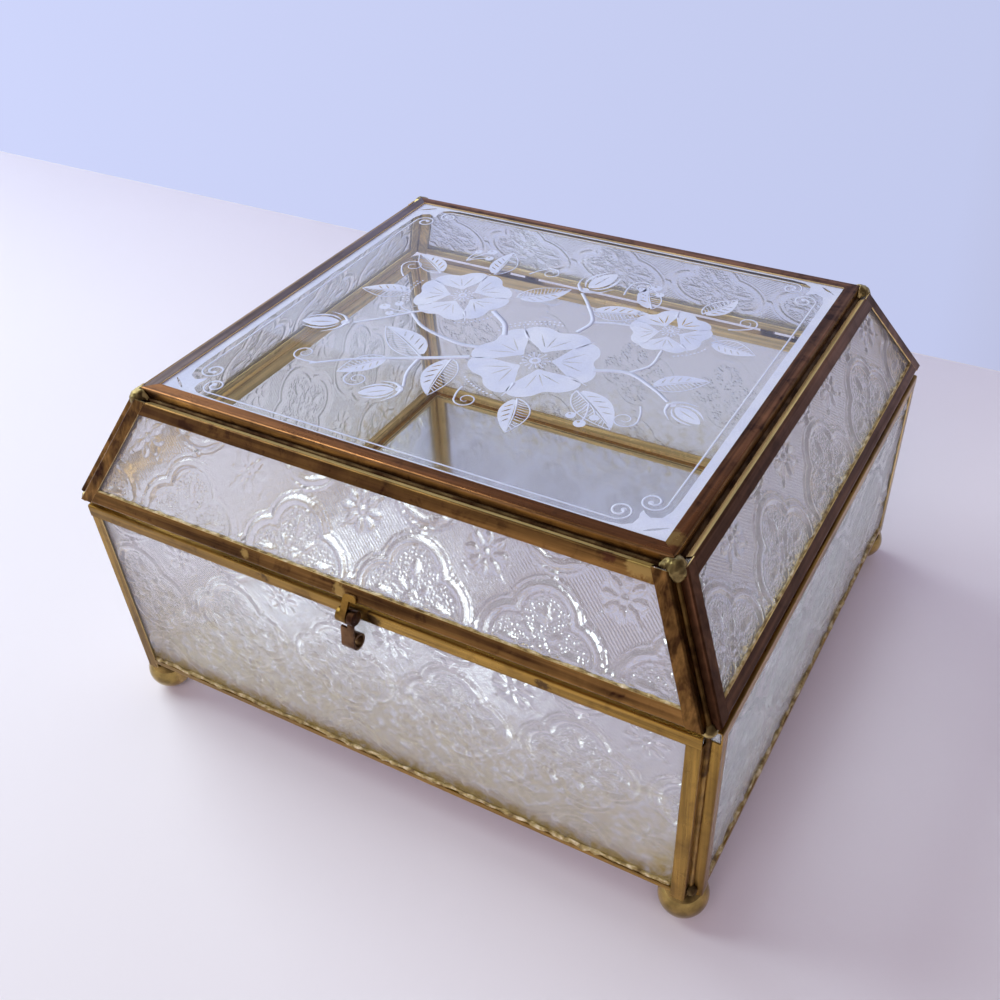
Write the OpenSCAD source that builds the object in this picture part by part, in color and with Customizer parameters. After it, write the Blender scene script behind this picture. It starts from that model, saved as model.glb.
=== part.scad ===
// Glass casket box: a flat-topped bevelled lid hinged on a straight-sided base, every pane of
// glass in its own brass came frame, a mirror floor, four ball feet and a front latch.
// Millimetres. +X is the box's right side, -Y its front, +Z up; the feet stand on z = 0.

/* [Lid] */
// width over the flat top frame
top_w = 140; // [120:1:166]
// depth over the flat top frame
top_d = 122.4; // [104:0.2:146]
// height from the lid's rim to the flat top frame
lid_rise = 26; // [20:0.5:40]

/* [Waist] */
// width of the lid's rim, measured inside the frames
rim_w = 168.2; // [150:0.2:200]
// depth of the lid's rim, measured inside the frames
rim_d = 149; // [132:0.2:180]
// how much narrower the base's rim is than the lid's, over both sides
rim_step_w = 0.8; // [0:0.1:2]
// how much shallower the base's rim is than the lid's, over both sides
rim_step_d = 2.8; // [0:0.1:3.6]
// open gap between the lid's rim and the base's rim
lid_gap = 1.2; // [0.6:0.1:1.6]

/* [Base] */
// width at the bottom of the base, measured inside the frames
floor_w = 164; // [146:0.2:200]
// depth at the bottom of the base, measured inside the frames
floor_d = 146.2; // [128:0.2:178]
// height of the base's walls
base_h = 55.4; // [40:0.2:90]

/* [Came] */
// width of the channel's two faces
came_face = 3.4; // [2.8:0.1:5]
// thickness of the folded brass
came_wall = 0.35; // [0.25:0.05:0.5]
// inside radius of the channel's folds
came_fold = 0.2; // [0.1:0.05:0.35]
// gap left where one strip's end meets the next strip
joint_gap = 0.05; // [0.03:0.01:0.1]

/* [Glass] */
// thickness of the wall and lid panes
glass_t = 2.1; // [1.6:0.1:3.1]
// gap between a pane's face and its channel
pane_play = 0.15; // [0.1:0.05:0.3]
// gap between a pane's edge and the bottom of its channel
seat_gap = 0.15; // [0.1:0.05:0.3]

/* [Sill and floor] */
// height of the sill's low outer lip
sill_lip = 1.8; // [1.2:0.1:2.6]
// height of the sill's inner leg
sill_leg = 5.4; // [4:0.1:7]
// width of the faces of the channel round the mirror
floor_face = 2.1; // [1.5:0.1:3]
// thickness of the mirror
mirror_t = 1.2; // [0.9:0.1:2]
// gap between the floor's frame and the walls
floor_gap = 0.1; // [0.05:0.05:0.3]
// how far the corner strips run down past the sill
strip_tail = 1.5; // [0.5:0.1:2.5]

/* [Feet] */
// diameter of a ball foot
foot_dia = 12.2; // [9:0.1:15]
// how far a foot's centre stands in from the walls' inner corner
foot_inset = 2.2; // [1:0.1:5]
// height of the cap filed off the ball under the floor
foot_seat = 0.3; // [0.1:0.1:0.8]
// height of the cap worn off the ball on the table
foot_wear = 0.1; // [0.05:0.05:0.3]

/* [Hinges] */
// distance from the box's middle to each hinge's middle
hinge_x = 46; // [30:1:60]
// length of the lid's knuckle in each hinge
hinge_mid = 6; // [4:0.5:10]
// length of each of the base's two knuckles in each hinge
hinge_end = 4; // [3:0.5:8]
// gap between neighbouring knuckles
hinge_gap = 0.3; // [0.2:0.05:0.6]
// outer radius of a knuckle
hinge_r = 1.6; // [1.4:0.1:2.2]
// radius of a hinge's pin
hinge_pin_r = 0.8; // [0.6:0.05:1]
// distance left between a knuckle and the lid's outer face
hinge_off = 0.4; // [0.35:0.05:0.8]
// how far the hinge's axis lies below the lid's lower outer edge, along the slope
hinge_drop = 0.8; // [0.4:0.1:1.4]
// height of the leaves soldered to the frames
leaf_h = 3; // [2:0.1:3.2]
// thickness of a leaf
leaf_t = 0.5; // [0.3:0.05:0.7]
// radius of a pin's peened head
pin_head_r = 1.2; // [1.05:0.05:1.35]
// thickness of a pin's peened head
pin_head_t = 0.5; // [0.3:0.1:1]

/* [Latch] */
// radius of the latch's barrel
barrel_r = 1.8; // [1.5:0.1:2.2]
// distance between the latch and the base's front face
latch_clear = 0.3; // [0.3:0.05:0.8]
// how far the barrel's axis hangs below the base's rim
barrel_drop = 1.2; // [0.6:0.1:1.8]
// left end of the bracket's knuckle, from the box's middle
bracket_left = -3; // [-5:0.1:-2.6]
// left edge of the bracket's plate
plate_left = -2; // [-2.4:0.1:-1]
// height of the bracket's plate on the lid's strip
plate_h = 1.6; // [1.3:0.1:2.6]
// radius of the plate's upper corners
plate_r = 1; // [0.4:0.1:1.1]
// length of the tongue's knuckle
tongue_knuckle = 1.55; // [1.2:0.05:2.5]
// right edge of the tongue, its knuckle and the bracket's plate
latch_right = 1.6; // [1.4:0.1:3]
// left edge of the tongue's hanging strip
tongue_left = -1.85; // [-2.4:0.05:-1]
// thickness of the tongue's strip
tongue_t = 0.6; // [0.4:0.05:0.8]
// distance from the barrel's axis down to the middle of the rolled end
roll_drop = 6.8; // [5.6:0.1:9]
// outer radius of the rolled end
roll_r = 2.1; // [1.6:0.1:2.4]
// how far the rolled end's middle stands out from the barrel's axis
roll_out = 0.35; // [0.3:0.05:1.5]
// radius of the latch's pin
latch_pin_r = 0.75; // [0.6:0.05:0.9]

/* [Fits] */
// radial clearance of a pin in a knuckle that turns on it
run_fit = 0.06; // [0.03:0.01:0.1]
// radial clearance of a pin in a knuckle that holds it
hold_fit = 0.02; // [0.01:0.01:0.03]
// gap under a piece that is soldered on
solder_gap = 0.03; // [0.02:0.01:0.05]

/* [Solder] */
// reach of the solder in the grooves at the top frame's corners
bead_top = 3; // [2.4:0.1:4]
// reach of the solder in the grooves at the corners of both rims
bead_rim = 1.9; // [1.4:0.1:3]
// reach of the solder in the grooves above the feet
bead_floor = 2.2; // [1.6:0.1:3]

/* [Hidden] */
$fn = 64;

SIDES = ["front", "right", "back", "left"];
EDGES = ["bottom", "right", "top", "left"];

// half sizes of the four rings the panes' inner faces meet at, as [half width, half depth]
top_ring = [top_w, top_d] / 2;
lid_ring = [rim_w, rim_d] / 2;
base_ring = [rim_w - rim_step_w, rim_d - rim_step_d] / 2;
floor_ring = [floor_w, floor_d] / 2;

// For side k (0 front, 1 right, 2 back, 3 left): how far out a ring lies, and how wide it is.
function out(ring, k) = ring[(k + 1) % 2];
function wide(ring, k) = 2 * ring[k % 2];

// One wall pane between a lower and an upper ring h apart, in its own plane: x along, y up the
// slope, z outward. Its corners run round from lower left.
function tilt(lower, upper, h, k) = atan2(out(lower, k) - out(upper, k), h);
function slope(lower, upper, h, k) = norm([out(lower, k) - out(upper, k), h]);
function pane(lower, upper, h, k) =
    let (b = wide(lower, k) / 2, t = wide(upper, k) / 2, s = slope(lower, upper, h, k))
    [[-b, 0], [b, 0], [t, s], [-t, s]];
function flat(ring) =
    [[-ring.x, -ring.y], [ring.x, -ring.y], [ring.x, ring.y], [-ring.x, ring.y]];

function lid_pane(k) = pane(lid_ring, top_ring, lid_rise, k);
function base_pane(k) = pane(floor_ring, base_ring, base_h, k);
lid_tilt = [for (k = [0:3]) tilt(lid_ring, top_ring, lid_rise, k)];
base_tilt = [for (k = [0:3]) tilt(floor_ring, base_ring, base_h, k)];

// Edge i of an outline moved in by d, as a point and a direction, and where two such lines cross.
function edge_dir(P, i) = let (v = P[(i + 1) % 4] - P[i]) v / norm(v);
function edge_in(P, i) = let (v = edge_dir(P, i)) [-v.y, v.x];
function edge_at(P, i, d) = P[i] + d * edge_in(P, i);
function crossing(P, i, di, j, dj) =
    let (a = edge_at(P, i, di), u = edge_dir(P, i), n = edge_in(P, j))
    a + u * (((edge_at(P, j, dj) - a) * n) / (u * n));
function shrunk(P, d) = [for (i = [0:3]) crossing(P, (i + 3) % 4, d[(i + 3) % 4], i, d[i])];
// A strip along edge i between depths a and b, ending at depth s of the edge before and e of the
// edge after.
function strip(P, i, a, b, s, e) =
    let (p = (i + 3) % 4, n = (i + 1) % 4)
    [crossing(P, i, a, p, s), crossing(P, i, a, n, e), crossing(P, i, b, n, e), crossing(P, i, b, p, s)];

edge_gap = 0.05;                       // between two frames that meet along a ring
pane_lift = came_wall + pane_play;     // from a channel's inner face to the pane in it
came_t = glass_t + 2 * pane_lift;
floor_t = mirror_t + 2 * pane_lift;
glass_in = edge_gap + came_wall + seat_gap;
over = 1;                              // how far a cutter runs past what it cuts

// where the pieces stand outside the panes
base_face = out(base_ring, 0) + came_t;
lid_edge = [out(lid_ring, 0) + came_t * cos(lid_tilt[0]), lid_gap + came_t * sin(lid_tilt[0])];
slope_up = [-sin(lid_tilt[0]), cos(lid_tilt[0])];
slope_out = [cos(lid_tilt[0]), sin(lid_tilt[0])];
hinge_at = lid_edge + slope_out * (hinge_off + hinge_r) - slope_up * hinge_drop;
barrel_at = [base_face + latch_clear + barrel_r, -barrel_drop];
roll_at = barrel_at + [roll_out, -roll_drop];
foot_r = foot_dia / 2;
foot_at = [floor_ring.x - foot_inset, floor_ring.y - foot_inset, -base_h - foot_r + foot_seat];
table_z = foot_at.z - foot_r + foot_wear;
middle_y = (hinge_at.x + hinge_r - roll_at.x - roll_r) / 2;
bracket_right = latch_right - tongue_knuckle - hinge_gap;
hinge_reach = hinge_mid / 2 + hinge_gap + hinge_end;

// Moves everything from the base's rim to the finished frame: feet on z = 0, middle at x = y = 0.
module placed() { translate([0, -middle_y, -table_z]) children(); }

// Carries a pane's own plane to where it stands.
module on_side(k, reach, z, lean) {
    placed() rotate([0, 0, 90 * k]) translate([0, -reach, z]) rotate([90 - lean, 0, 0]) children();
}
module on_lid(k) { on_side(k, out(lid_ring, k), lid_gap, lid_tilt[k]) children(); }
module on_base(k) { on_side(k, out(floor_ring, k), -base_h, base_tilt[k]) children(); }
module on_top() { placed() translate([0, 0, lid_gap + lid_rise]) children(); }
module on_floor() { placed() translate([0, 0, -base_h]) children(); }

// A folded strip's section: x from its web at a to its lips at b, y over its thickness t, with the
// two corners of the web rounded by r.
module fold(a, b, t, r) {
    translate([a + r, 0]) square([b - a - r, t]);
    translate([a, r]) square([r, t - 2 * r]);
    for (y = [r, t - r]) translate([a + r, y]) circle(r);
}
module channel(a, b, t) {
    difference() {
        fold(a, b, t, came_fold + came_wall);
        translate([0, came_wall]) fold(a + came_wall, b + over, t - 2 * came_wall, came_fold);
    }
}
// Draws a section along edge i of an outline, cut to the outline `ends`.
module along_edge(P, i, t, ends) {
    v = edge_dir(P, i);
    run = came_face + strip_tail + over;
    intersection() {
        translate(P[i]) rotate([0, 0, atan2(v.y, v.x)]) translate([-run, 0, 0]) rotate([90, 0, 90])
            linear_extrude(norm(P[(i + 1) % 4] - P[i]) + 2 * run) children();
        translate([0, 0, -over]) linear_extrude(t + 2 * over) polygon(ends);
    }
}
// Strip i of a frame, butted against the strips before and after it at depths s and e.
module butt_came(P, i, s, e) {
    along_edge(P, i, came_t, strip(P, i, edge_gap - over, came_face + over, s, e))
        channel(edge_gap, came_face, came_t);
}
// Strip i of a flat frame with mitred ends.
module mitred_came(P, i, a, b, t) {
    p = (i + 3) % 4;
    n = (i + 1) % 4;
    g = joint_gap / 2;
    low = a - over;
    high = b + over;
    along_edge(P, i, t, [crossing(P, i, low, p, low + g), crossing(P, i, low, n, low + g),
                         crossing(P, i, high, n, high + g), crossing(P, i, high, p, high + g)])
        channel(a, b, t);
}
module plate(P, d, t) { translate([0, 0, pane_lift]) linear_extrude(t) polygon(shrunk(P, d)); }

module brass() { color("#9c7a3c") children(); }
module bright_brass() { color("#b8924a") children(); }
module solder_grey() { color("#6e5a3c") children(); }
module clear_glass() { color([0.85, 0.88, 0.95, 0.35]) children(); }
module mirror_grey() { color("#b9c0c8") children(); }

// ---- lid ----
module lid_top_glass() {
    clear_glass() on_top() plate(flat(top_ring), glass_in * [1, 1, 1, 1], glass_t);
}
module lid_top_came(k) {
    brass() on_top() mitred_came(flat(top_ring), k, edge_gap, came_face, came_t);
}
module lid_glass(k) {
    clear_glass() on_lid(k) plate(lid_pane(k), glass_in * [1, 1, 1, 1], glass_t);
}
// The side strips run the whole slope; the bottom and top strips butt against them.
module lid_came(k, i) {
    end = i % 2 == 0 ? came_face + joint_gap : edge_gap;
    brass() on_lid(k) butt_came(lid_pane(k), i, end, end);
}

// ---- base ----
module base_glass(k) {
    clear_glass() on_base(k)
        plate(base_pane(k), [came_wall + seat_gap, glass_in, glass_in, glass_in], glass_t);
}
// The top strip runs the whole width; the side strips butt under it and run down past the sill,
// cut to the ball foot they're soldered to.
module base_came(k, i) {
    P = base_pane(k);
    under = came_face + joint_gap;
    brass() difference() {
        on_base(k)
            if (i == 2) butt_came(P, i, edge_gap, edge_gap);
            else if (i == 1) butt_came(P, i, -strip_tail, under);
            else butt_came(P, i, under, -strip_tail);
        if (i != 2) feet(solder_gap);
    }
}
// J-shaped sill: a web under the pane, a low lip outside it and a high leg inside it.
module base_sill(k) {
    P = base_pane(k);
    end = came_face + joint_gap;
    brass() on_base(k)
        along_edge(P, 0, came_t, strip(P, 0, -over, sill_leg + over, end, end)) difference() {
            channel(0, sill_leg, came_t);
            translate([sill_lip, came_t - came_wall - pane_play]) square(sill_leg);
        }
}
module floor_came(k) {
    brass() on_floor() mitred_came(flat(floor_ring), k, floor_gap, floor_gap + floor_face, floor_t);
}
module floor_mirror() {
    mirror_grey() on_floor()
        plate(flat(floor_ring), (floor_gap + came_wall + seat_gap) * [1, 1, 1, 1], mirror_t);
}

// ---- feet ----
module feet(grow) {
    placed() for (sx = [-1, 1], sy = [-1, 1])
        translate([sx * foot_at.x, sy * foot_at.y, foot_at.z]) difference() {
            sphere(foot_r + grow);
            translate([-foot_dia, -foot_dia, foot_r - foot_seat - solder_gap + grow]) cube(2 * foot_dia);
            translate([-foot_dia, -foot_dia, -2 * foot_dia - foot_r + foot_wear]) cube(2 * foot_dia);
        }
}
module ball_feet() { bright_brass() feet(0); }

// ---- solder ----
// What the solder has to stay out of: the frames and the room inside them.
module room(P, below) {
    reach = 2 * max(bead_top, bead_rim, bead_floor);
    translate([0, 0, -reach]) linear_extrude(reach + came_t + solder_gap)
        polygon(shrunk(P, (edge_gap - solder_gap) * [1, 1, 1, 1] - [below, 0, 0, 0]));
}
// A ball of solder at each corner of a ring: the half above it (1), below it (-1) or all of it (0).
module bead(ring, z, r, part) {
    for (sx = [-1, 1], sy = [-1, 1])
        placed() translate([sx * ring.x, sy * ring.y, z]) difference() {
            sphere(r);
            if (part != 0) translate([-r, -r, part > 0 ? -2 * r : 0]) cube(2 * r);
        }
}
module lid_solder() {
    solder_grey() difference() {
        union() {
            bead(lid_ring, lid_gap, bead_rim, 1);
            bead(top_ring, lid_gap + lid_rise, bead_top, 0);
        }
        for (k = [0:3]) on_lid(k) room(lid_pane(k), 0);
        on_top() room(flat(top_ring), 0);
    }
}
module base_solder() {
    solder_grey() difference() {
        union() {
            bead(base_ring, 0, bead_rim, -1);
            bead(floor_ring, -base_h, bead_floor, 1);
        }
        for (k = [0:3]) on_base(k) room(base_pane(k), strip_tail);
        feet(solder_gap);
    }
}

// ---- hinges ----
// Draws a section, given as [outward from the middle, up], along the box's width.
module along_x(from, to) {
    placed() translate([from, 0, 0]) rotate([90, 0, 90]) linear_extrude(to - from) children();
}
module hinge_spans() { for (s = [-1, 1]) translate([s * hinge_x, 0, 0]) children(); }

module knuckle(at, r, bore) {
    difference() {
        translate(at) circle(r);
        translate(at) circle(bore);
    }
}
module hinge_lid_leaves() {
    foot = lid_edge + slope_out * solder_gap;
    back = foot + slope_out * leaf_t;
    brass() hinge_spans() along_x(-hinge_mid / 2, hinge_mid / 2) difference() {
        union() {
            translate(hinge_at) circle(hinge_r);
            polygon([foot, foot + slope_up * leaf_h, back + slope_up * leaf_h,
                     hinge_at + slope_up * hinge_r, hinge_at - slope_out * hinge_r]);
        }
        translate(hinge_at) circle(hinge_pin_r + run_fit);
    }
}
module hinge_base_leaves() {
    y = base_face + solder_gap;
    brass() for (s = [-1, 1]) hinge_spans() {
        low = s > 0 ? hinge_mid / 2 + hinge_gap : -hinge_reach;
        along_x(low, low + hinge_end) difference() {
            union() {
                translate(hinge_at) circle(hinge_r);
                polygon([[y, -solder_gap], [y, -leaf_h], [y + leaf_t, -leaf_h],
                         hinge_at - [0, hinge_r], hinge_at - [hinge_r * cos(45), hinge_r * sin(45)]]);
            }
            translate(hinge_at) circle(hinge_pin_r + hold_fit);
        }
    }
}
module hinge_pins() {
    bright_brass() hinge_spans() {
        along_x(-hinge_reach - solder_gap, hinge_reach + solder_gap)
            translate(hinge_at) circle(hinge_pin_r);
        along_x(-hinge_reach - solder_gap - pin_head_t, -hinge_reach - solder_gap)
            translate(hinge_at) circle(pin_head_r);
        along_x(hinge_reach + solder_gap, hinge_reach + solder_gap + pin_head_t)
            translate(hinge_at) circle(pin_head_r);
    }
}

// ---- latch ----
// Its sections are drawn as on the back, then turned to the front.
module at_front(from, to) {
    placed() translate([to, 0, 0]) mirror([0, 1, 0]) rotate([90, 0, 90])
        translate([0, 0, from - to]) linear_extrude(to - from) children();
}
module latch_bracket() {
    foot = lid_edge + slope_out * solder_gap;
    back = foot + slope_out * leaf_t;
    wide = latch_right - plate_left;
    brass() {
        on_lid(0) translate([plate_left, 0, came_t + solder_gap]) linear_extrude(leaf_t)
            intersection() {
                square([wide, plate_h]);
                union() {
                    translate([0, -plate_r]) square([wide, plate_h]);
                    translate([plate_r, 0]) square([wide - 2 * plate_r, plate_h]);
                    for (x = [plate_r, wide - plate_r])
                        translate([x, plate_h - plate_r]) circle(plate_r);
                }
            }
        at_front(plate_left, bracket_right) difference() {
            polygon([foot, back, barrel_at + barrel_r * [cos(30), sin(30)],
                     barrel_at + barrel_r * [cos(100), sin(100)]]);
            translate(barrel_at) circle(latch_pin_r + hold_fit);
        }
        at_front(bracket_left, bracket_right) knuckle(barrel_at, barrel_r, latch_pin_r + hold_fit);
    }
}
module latch_pin() {
    bright_brass() at_front(bracket_left, latch_right) translate(barrel_at) circle(latch_pin_r);
}
// The tongue hangs from the barrel, stands out from the front as it goes down and is rolled back
// on itself at its end.
module latch_tongue() {
    start = barrel_at + barrel_r * [cos(-34), sin(-34)];
    end = roll_at + [roll_r, 0];
    thick = [tongue_t, 0];
    low = start + (end - start) * (start.y - barrel_at.y + barrel_r + hinge_gap) / (start.y - end.y);
    brass() {
        at_front(latch_right - tongue_knuckle, latch_right) difference() {
            union() {
                translate(barrel_at) circle(barrel_r);
                polygon([start, low, low - thick, start - thick]);
            }
            translate(barrel_at) circle(latch_pin_r + run_fit);
        }
        at_front(tongue_left, latch_right) {
            polygon([low, end, end - thick, low - thick]);
            difference() {
                translate(roll_at) circle(roll_r);
                translate(roll_at) circle(roll_r - tongue_t);
                polygon([roll_at, roll_at + 2 * roll_r * [cos(35), sin(35)],
                         roll_at + 2 * roll_r * [cos(60), sin(60)]]);
            }
        }
    }
}

for (k = [0:3]) {
    lid_top_came(k);
    lid_glass(k);
    for (i = [0:3])
        lid_came(k, i);
    base_glass(k);
    for (i = [1:3])
        base_came(k, i);
    base_sill(k);
    floor_came(k);
}
lid_top_glass();
lid_solder();
hinge_lid_leaves();
latch_bracket();
latch_pin();
latch_tongue();
floor_mirror();
base_solder();
ball_feet();
hinge_base_leaves();
hinge_pins();
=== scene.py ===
"""Glass casket box: brass came frames, pressed glass walls, an etched lid pane and a mirror floor.

Every length is in metres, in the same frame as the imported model: +X the box's right, -Y its
front, +Z up, the feet on z = 0.
"""
import math

import bpy
import numpy as np
from mathutils import Matrix, Vector


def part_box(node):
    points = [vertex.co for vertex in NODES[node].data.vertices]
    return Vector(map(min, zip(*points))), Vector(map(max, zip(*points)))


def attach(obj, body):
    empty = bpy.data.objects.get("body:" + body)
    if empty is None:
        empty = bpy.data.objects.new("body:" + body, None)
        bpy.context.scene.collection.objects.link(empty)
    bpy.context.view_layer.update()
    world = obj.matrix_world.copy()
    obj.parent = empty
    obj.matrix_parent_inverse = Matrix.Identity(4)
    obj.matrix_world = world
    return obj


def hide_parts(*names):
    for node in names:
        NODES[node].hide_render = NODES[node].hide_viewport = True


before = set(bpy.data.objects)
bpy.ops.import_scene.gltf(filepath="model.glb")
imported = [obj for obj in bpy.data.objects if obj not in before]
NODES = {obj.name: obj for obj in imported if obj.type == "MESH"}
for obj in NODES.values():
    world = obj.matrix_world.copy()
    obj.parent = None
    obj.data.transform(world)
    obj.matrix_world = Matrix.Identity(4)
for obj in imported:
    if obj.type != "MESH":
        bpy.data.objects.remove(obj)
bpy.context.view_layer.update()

bl_info = {
    "name": "Glass Casket Box",
    "version": (1, 0, 0),
    "blender": (4, 5, 0),
    "location": "3D View > Sidebar > Casket",
    "description": "Dresses the casket box's frame with pressed glass, brass and etching",
    "category": "Object",
}

MM = 0.001
SIDES = ("front", "right", "back", "left")
# half width, half depth and height of the lines where the frames meet, in millimetres: round the
# top pane, the lid's rim, the base's rim and the sill
TOP, RIM, LOW, FOOT = (70.0, 61.2, 94.4), (84.1, 74.5, 68.4), (83.7, 73.1, 67.2), (82.0, 73.1, 11.8)
# y of their middle, in millimetres
MIDDLE = -0.127
# the pitch that the pressed pattern's numbers are drawn at, in millimetres
DRAWN_PITCH = 31.8
# how far a pressed pane's ground lies under the flat pane's outer face, to leave room for its relief
GROUND = 0.3 * MM
# how far inside the strips' lips the relief comes up to its full height
FADE = 0.35 * MM
# width and height of the stain of old polish in each base pane's lower right corner
CORNER_STAIN = (13 * MM, 19 * MM)
# the least share of the relief that still raises a point
LEAST_RELIEF = 0.004
# how strongly the painted reflection of the brass under a front pane shows in its foot, in the lid and in the
# base
GLOW = {"lid": 0.0, "base": 1.0}
# a pane's UV map counts in tenths of a metre
UV_PER_METRE = 10


# ---------------------------------------------------------------- small helpers
def deselect_all():
    if bpy.context.object and bpy.context.object.mode != "OBJECT":
        bpy.ops.object.mode_set(mode="OBJECT")
    bpy.ops.object.select_all(action="DESELECT")


def take(obj):
    """Makes obj the only selected object and the active one."""
    deselect_all()
    obj.select_set(True)
    bpy.context.view_layer.objects.active = obj
    return obj


def settle(obj):
    """Bakes an object's place, turn and scale into its mesh."""
    take(obj)
    bpy.ops.object.transform_apply(location=True, rotation=True, scale=True)
    return obj


def place_on(obj, axes, point):
    """Puts an object's X, Y and Z along three axes and its origin on a point, for good."""
    rows = [[*row, along] for row, along in zip(np.stack(axes, 1), point)]
    obj.matrix_world = Matrix([*rows, [0, 0, 0, 1]])
    return settle(obj)


def apply_modifiers(obj):
    take(obj)
    for name in [m.name for m in obj.modifiers]:
        bpy.ops.object.modifier_apply(modifier=name)
    return obj


def give(obj, material):
    obj.data.materials.clear()
    obj.data.materials.append(material)


def dress(material, *nodes):
    """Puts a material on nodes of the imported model, leaving their meshes alone."""
    for node in nodes:
        give(NODES[node], material)


def finish_piece(obj, material, body, replaced=None):
    """Gives a new piece its material and the body that it moves with."""
    give(obj, material)
    if replaced:
        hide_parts(replaced)
    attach(obj, body)
    return obj


# ---------------------------------------------------------------- settings
def in_mm(name, description, default):
    return bpy.props.FloatProperty(name=name, description=description, default=default * MM, unit="LENGTH")


def as_share(name, description, default):
    return bpy.props.FloatProperty(name=name, description=description, default=default, subtype="FACTOR")


def as_colour(name, description, *default):
    return bpy.props.FloatVectorProperty(name=name, description=description, default=default,
                                         subtype="COLOR", size=3)


class CasketPressedGlass(bpy.types.PropertyGroup):
    pitch: in_mm("Pitch", "Distance from one medallion to the next", DRAWN_PITCH)
    relief: in_mm("Relief", "Height of the strongest ridges over the ground", 0.78)
    far_relief: as_share("Far relief", "The back panes' relief as a share of the front ones'", 0.5)
    grid: in_mm("Grid", "Spacing of the points the relief is formed on", 0.42)
    lip: in_mm("Lip", "Depth of the channel over the pane's edge, where the relief fades out", 3.15)
    tint: as_colour("Tint", "Colour of the lid's pressed glass", 0.98, 0.97, 0.98)
    base_tint: as_colour("Base tint", "Colour of the base's pressed glass", 0.97, 0.98, 1.0)
    # painted reflection: sill gold and sill glow paint the brass seen through a base pane into its foot
    sill_gold: as_colour("Sill gold", "Colour of the brass seen in the glass", 0.84, 0.66, 0.22)
    clearness: as_share("Clearness", "Share of light that the lid's panes let through", 0.86)
    base_clearness: as_share("Base clearness", "Share of light that the base's panes let through", 0.78)
    sill_glow: in_mm("Sill glow", "How far up the base panes the sill's brass shows in the glass", 6.5)
    frost: as_share("Frost", "Roughness of the stippled ground", 0.12)


class CasketBrass(bpy.types.PropertyGroup):
    rim_gold: as_colour("Rim gold", "Bright brass of the base's frames", 0.48, 0.285, 0.06)
    lid_brown: as_colour("Lid brown", "Browned brass of the lid's frames", 0.34, 0.185, 0.055)
    top_brown: as_colour("Top brown", "Brown brass of the frame round the top pane", 0.40, 0.22, 0.09)
    # painted light: the brighter gold given to faces that look into the box, in place of the light they catch
    # there
    inside_gold: as_colour("Inside gold", "Brass that has stayed yellow inside the box", 0.95, 0.72, 0.32)
    fitting_brown: as_colour("Fitting brown", "Brown brass of the hinges and the latch", 0.20, 0.11, 0.05)
    # painted shade: the darker red-brown brass given to the lid's right strips for the shade they show
    worn: as_colour("Worn", "Brass that has gone dark red-brown on the lid's right", 0.21, 0.10, 0.05)
    # painted shade: the darker, greyer brass given to the top frame's left strip for the shade it shows
    dulled: as_colour("Dulled", "Brass that has gone grey at the left of the top pane", 0.20, 0.15, 0.15)
    solder: as_colour("Solder", "Solder stained by the brass round it", 0.46, 0.36, 0.14)
    # real solder fills the groove, and its dark colour is painted shade of the groove
    seam: as_colour("Seam", "Dark solder in the groove round the top pane's frame", 0.16, 0.10, 0.045)
    corner: as_colour("Corner", "Solder down the corners of the lid and the base", 0.42, 0.26, 0.075)
    patina: as_colour("Patina", "Dark tarnish in the recesses and blotches", 0.055, 0.022, 0.010)
    ball_gold: as_colour("Ball gold", "Polished brass of the feet", 0.48, 0.34, 0.11)


class CasketStage(bpy.types.PropertyGroup):
    floor: as_colour("Floor", "Colour of the table", 0.83, 0.795, 0.845)
    wall: as_colour("Wall", "Colour of the backdrop", 0.545, 0.59, 0.85)
    # painted shadow: the backdrop's darker colour at its right
    wall_shade: as_colour("Wall shade", "Colour of the backdrop at its right", 0.38, 0.34, 0.40)
    lens: bpy.props.FloatProperty(name="Lens", description="Focal length of the camera in millimetres",
                                  default=41.11)


# ---------------------------------------------------------------- node helpers
def feed(tree, value, socket):
    """Links an output into a socket, or sets a plain value there."""
    if isinstance(value, bpy.types.NodeSocket):
        tree.links.new(value, socket)
    elif socket.type == "RGBA" and len(value) == 3:
        socket.default_value = (*value, 1.0)
    else:
        socket.default_value = value


def fill(tree, node, values):
    """Feeds a node's inputs, each under its name or number."""
    for label, value in values.items():
        feed(tree, value, node.inputs[label])
    return node


def add(tree, kind, values=None, **settings):
    """Adds a node with its settings, and feeds its inputs."""
    node = tree.nodes.new(kind)
    for key, value in settings.items():
        setattr(node, key, value)
    return fill(tree, node, values or {})


def lay_out(tree):
    """Sets a tree's nodes in columns, each node left of all that it feeds."""
    column = {node.name: 0 for node in tree.nodes}
    for _ in tree.nodes:
        for wire in tree.links:
            start, end = wire.from_node.name, wire.to_node.name
            column[start] = max(column[start], column[end] + 1)
    rows = {}
    for name, place in column.items():
        rows[place] = rows.get(place, -1) + 1
        tree.nodes[name].location = (-260 * place, -320 * rows[place])


def new_group(name, takes, gives):
    """A shader node group and its inner sockets; takes maps each input to its default."""
    group = bpy.data.node_groups.new(name, "ShaderNodeTree")
    for label, default in takes.items():
        parts = len(default) if isinstance(default, tuple) else 1
        kind = {1: "NodeSocketFloat", 3: "NodeSocketVector", 4: "NodeSocketColor"}[parts]
        group.interface.new_socket(name=label, in_out="INPUT", socket_type=kind).default_value = default
    for label in gives:
        kind = "NodeSocketColor" if label == "Color" else "NodeSocketFloat"
        group.interface.new_socket(name=label, in_out="OUTPUT", socket_type=kind)
    return group, add(group, "NodeGroupInput").outputs, add(group, "NodeGroupOutput")


def built_once(build):
    """Makes build a function that builds its node group once and finds it again after that."""
    def find():
        name = build.__name__.replace("_", " ").capitalize()
        return bpy.data.node_groups.get(name) or build(name)
    return find


def new_material(name):
    material = bpy.data.materials.new(name)
    material.use_nodes = True
    return material, material.node_tree


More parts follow.
